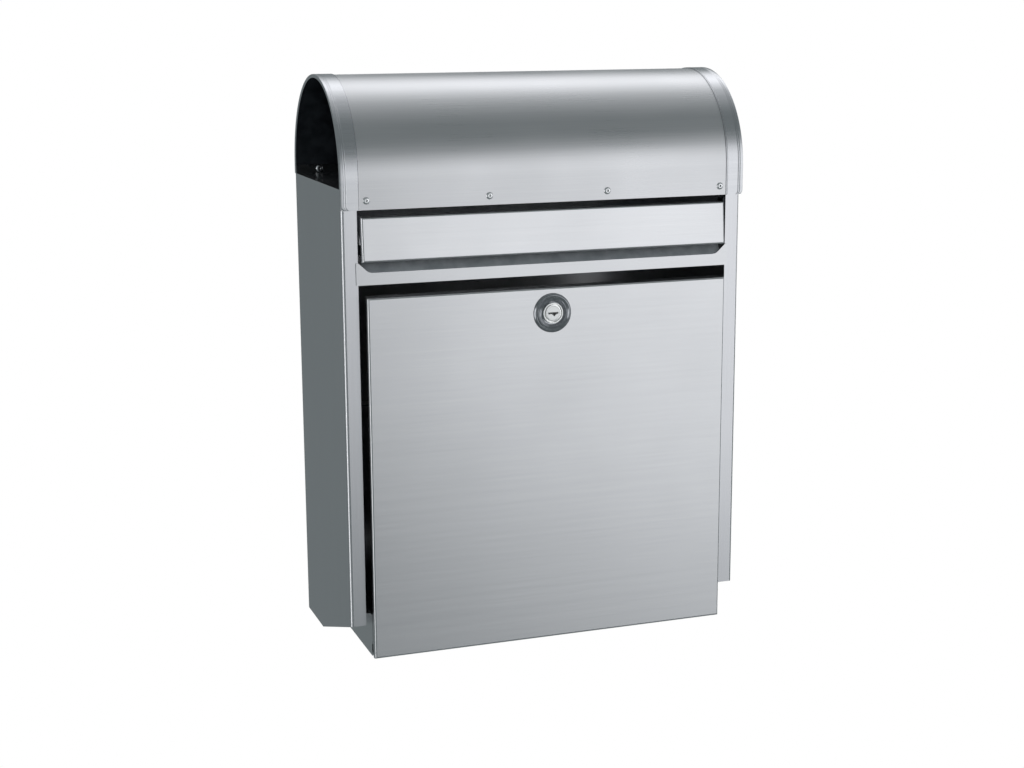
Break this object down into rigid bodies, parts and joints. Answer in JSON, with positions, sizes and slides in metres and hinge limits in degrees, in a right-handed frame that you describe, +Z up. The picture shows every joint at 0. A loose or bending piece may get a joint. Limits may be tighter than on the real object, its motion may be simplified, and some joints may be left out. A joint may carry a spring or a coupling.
{
  "type": "wall mounted mailbox",
  "caption": "Wall mounted mailbox of brushed stainless sheet with an arched newspaper tube on top, a letter flap, and a locking door that drops open.",
  "frame": {"origin": "centre of the four wall screw holes, on the wall side of the back panel", "axes": "+Z up, +X to the viewer's right when facing the box, -Y out of the wall towards the viewer"},
  "size_m": [0.3766, 0.1811, 0.5182],
  "materials": {
    "brushed_stainless": "stainless sheet, brushed along its length",
    "zinc_steel": "zinc-plated steel, dull",
    "rivet_steel": "stainless blind rivets, smooth",
    "dark_chrome": "black chrome plate, polished",
    "nickel_brass": "nickel-plated, turned and polished",
    "stop_rubber": "black moulded rubber, matte"
  },
  "bodies": {
    "housing": {"back_panel": "brushed_stainless", "left_side_panel": "brushed_stainless", "right_side_panel": "brushed_stainless", "floor_pan": "brushed_stainless", "newspaper_shelf": "brushed_stainless", "hood_sheet": "brushed_stainless", "left_hood_band": "brushed_stainless", "right_hood_band": "brushed_stainless", "hood_rivets": "rivet_steel", "crossbar": "brushed_stainless", "strike_plate": "zinc_steel", "left_flap_bracket": "zinc_steel", "right_flap_bracket": "zinc_steel", "flap_rod": "zinc_steel", "flap_rod_washers": "zinc_steel", "flap_bumpers": "stop_rubber", "left_door_stop": "zinc_steel", "right_door_stop": "zinc_steel", "door_bumpers": "stop_rubber", "left_hinge_bracket": "zinc_steel", "right_hinge_bracket": "zinc_steel", "door_hinge_rod": "zinc_steel", "door_rod_washers": "zinc_steel"},
    "flap": {"letter_flap": "brushed_stainless"},
    "door": {"door_panel": "brushed_stainless", "left_door_knuckle": "zinc_steel", "right_door_knuckle": "zinc_steel", "lock_escutcheon": "dark_chrome", "lock_housing": "nickel_brass", "lock_nut": "nickel_brass"},
    "lock_core": {"lock_plug": "nickel_brass", "lock_cam": "zinc_steel", "cam_screw": "zinc_steel"}
  },
  "joints": [
    {"name": "door_swing", "type": "hinge", "parent": "housing", "child": "door", "pos_m": [0, -0.174, -0.2002], "axis": [1, 0, 0], "range_deg": [0, 95]},
    {"name": "flap_swing", "type": "hinge", "parent": "housing", "child": "flap", "pos_m": [0, -0.1625, 0.183], "axis": [-1, 0, 0], "range_deg": [0, 80]},
    {"name": "lock_turn", "type": "hinge", "parent": "door", "child": "lock_core", "pos_m": [0, -0.1785, 0.0972], "axis": [0, 1, 0], "range_deg": [0, 90]}
  ]
}
